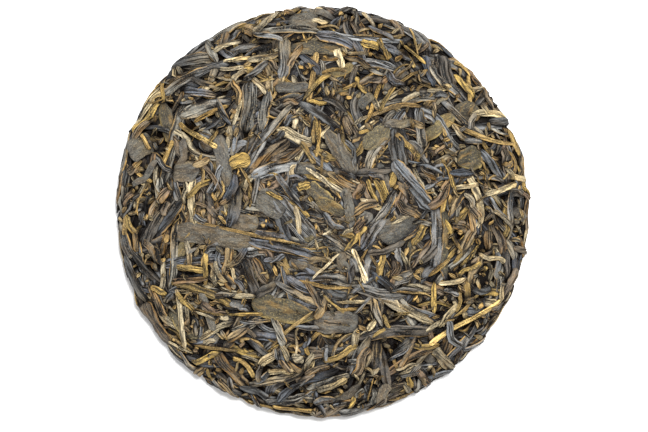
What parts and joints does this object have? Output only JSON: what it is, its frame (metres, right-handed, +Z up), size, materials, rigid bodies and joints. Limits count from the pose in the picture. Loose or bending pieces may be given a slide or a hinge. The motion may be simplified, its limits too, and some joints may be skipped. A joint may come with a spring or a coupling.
{
  "type": "pu erh tea cake",
  "caption": "Round cake of whole dried tea leaves pressed into a low dome, with a flat back and a knot hollow in it, for breaking up and brewing.",
  "frame": {"origin": "on the surface that the cake rests on, under the middle of its box", "axes": "+Z up, out of the domed face; +Y towards the top edge of the picture and +X towards its right edge"},
  "size_m": [0.2008, 0.1996, 0.025],
  "materials": {
    "tea_leaf": "dry matt leaf, pressed smooth on top",
    "slate_leaf": "dark blue-grey rolled leaf, faint satin",
    "olive_leaf": "olive-brown broad leaf, matt and mottled",
    "brown_leaf": "brown leaf with a purple cast, matt",
    "golden_stalk": "golden woody stalk, finely ribbed",
    "pale_bud": "pale downy bud"
  },
  "bodies": {
    "root": {"tea_cake": "tea_leaf"}
  },
  "joints": []
}
